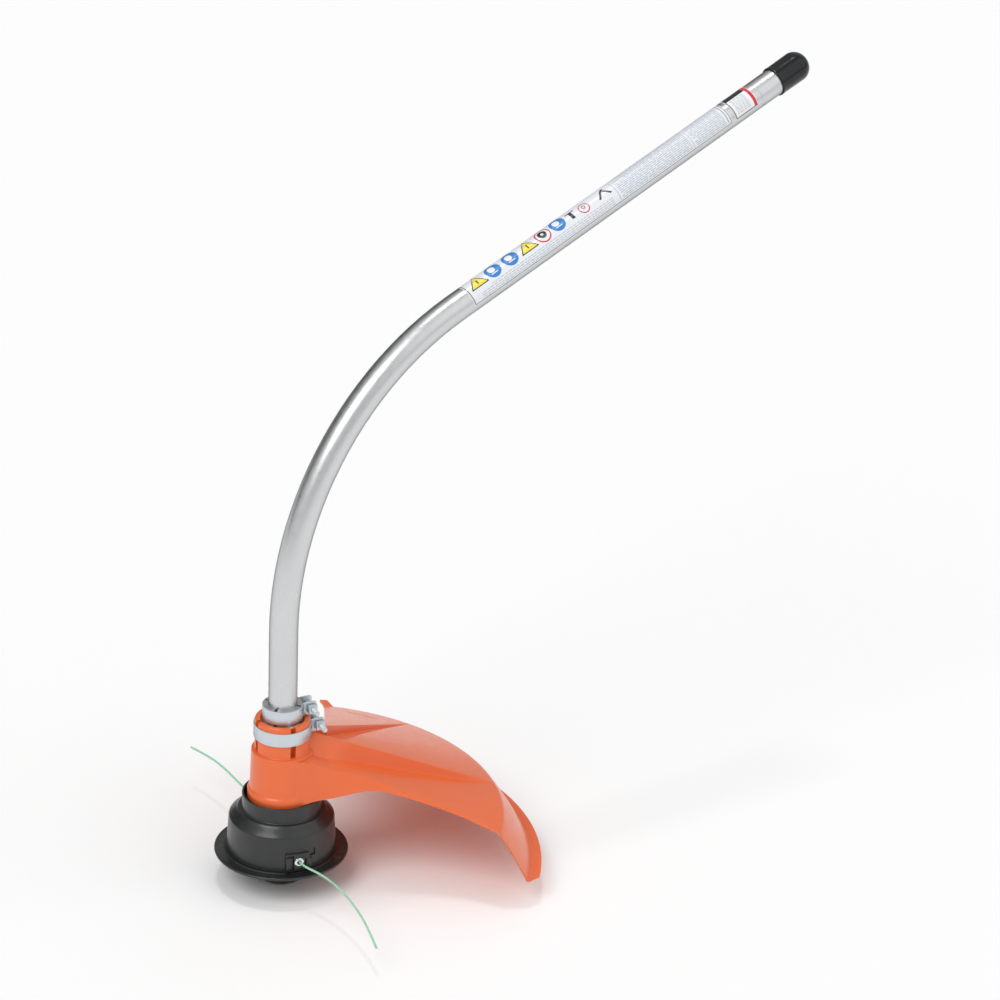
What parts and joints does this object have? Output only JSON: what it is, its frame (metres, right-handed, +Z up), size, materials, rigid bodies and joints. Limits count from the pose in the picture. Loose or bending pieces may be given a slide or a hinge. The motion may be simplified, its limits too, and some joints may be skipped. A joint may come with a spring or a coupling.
{
  "type": "string trimmer attachment",
  "caption": "Curved-shaft string trimmer attachment: drive tube with end cap, clamped deflector guard, and a spinning bump-feed line head.",
  "frame": {"origin": "on the head's spin axis, at the centre of the bump knob's flat lower face", "axes": "+Z up the spin axis, from the bump knob to the tube's foot; +X the way the tube leans over, so the tube lies in the XZ plane and the guard spreads under it"},
  "size_m": [0.6433, 0.3658, 0.6713],
  "materials": {
    "tube_aluminium": "satin drawn and clear anodised",
    "liner_plastic": "matt extruded",
    "cable_steel": "bright drawn",
    "bronze": "plain sintered bronze or brass",
    "cap_gloss_black": "dipped glossy vinyl",
    "label_film": "printed film, semi-gloss",
    "housing_alloy": "die-cast, as cast",
    "bearing_steel": "ground",
    "guard_orange": "injection moulded, semi-gloss",
    "blade_steel": "stamped",
    "zinc_steel": "bright zinc plated",
    "head_black": "injection moulded, fine grain",
    "eyelet_steel": "polished and hardened",
    "line_green": "extruded nylon, slightly translucent"
  },
  "bodies": {
    "boom": {"drive_tube": "tube_aluminium", "shaft_liner": "liner_plastic", "flexible_shaft": "cable_steel", "top_bush": "bronze", "tube_label": "label_film", "coupling_label": "label_film", "bearing_housing": "housing_alloy", "housing_circlip": "bearing_steel", "lower_outer_race": "bearing_steel", "upper_outer_race": "bearing_steel", "guard": "guard_orange", "line_cutter_blade": "blade_steel", "blade_screws": "zinc_steel", "small_clamp_band": "zinc_steel", "small_clamp_screw": "zinc_steel", "small_clamp_nut": "zinc_steel", "large_clamp_band": "zinc_steel", "large_clamp_screw": "zinc_steel", "large_clamp_nut": "zinc_steel"},
    "head": {"spindle": "bearing_steel", "spindle_circlip": "bearing_steel", "lower_inner_race": "bearing_steel", "upper_inner_race": "bearing_steel", "bearing_spacer": "bearing_steel", "shaft_ferrule": "cable_steel", "grass_plate": "zinc_steel", "head_insert": "bronze", "head_housing": "head_black", "line_eyelets": "eyelet_steel", "head_cap": "head_black", "bump_spring": "zinc_steel", "line_tip_a": "line_green", "line_tip_b": "line_green"},
    "bearing_cages": {"lower_bearing_balls": "bearing_steel", "upper_bearing_balls": "bearing_steel", "lower_ball_cage": "bronze", "upper_ball_cage": "bronze"},
    "bump_slider": {"spring_seat": "zinc_steel"},
    "spool_and_knob": {"spool": "head_black", "wound_line": "line_green", "bump_knob": "head_black"},
    "drive_coupling": {"drive_connector": "cable_steel"},
    "end_cap": {"tube_end_cap": "cap_gloss_black"}
  },
  "joints": [
    {"name": "head_spin", "type": "hinge", "parent": "boom", "child": "head", "pos_m": [0, 0, 0], "axis": [0, 0, 1], "continuous": true},
    {"name": "cage_spin", "type": "hinge", "parent": "boom", "child": "bearing_cages", "pos_m": [0, 0, 0.1], "axis": [0, 0, 1], "continuous": true},
    {"name": "connector_spin", "type": "hinge", "parent": "boom", "child": "drive_coupling", "pos_m": [0.57378, 0, 0.65739], "axis": [0.9323, 0, 0.3616], "continuous": true},
    {"name": "bump_slide", "type": "slide", "parent": "head", "child": "bump_slider", "axis": [0, 0, 1], "range_m": [0, 0.007], "stiffness_N_per_m": 800, "springref_m": -0.015, "deforming": ["bump_spring"]},
    {"name": "spool_index", "type": "hinge", "parent": "bump_slider", "child": "spool_and_knob", "pos_m": [0, 0, 0.04], "axis": [0, 0, 1], "continuous": true},
    {"name": "cap_slide", "type": "slide", "parent": "boom", "child": "end_cap", "axis": [0.9323, 0, 0.3616], "range_m": [0, 0.1]}
  ],
  "couplings": [
    {"joint": "cage_spin", "follows": "head_spin", "ratio": 0.3678},
    {"joint": "connector_spin", "follows": "head_spin", "ratio": 1}
  ]
}
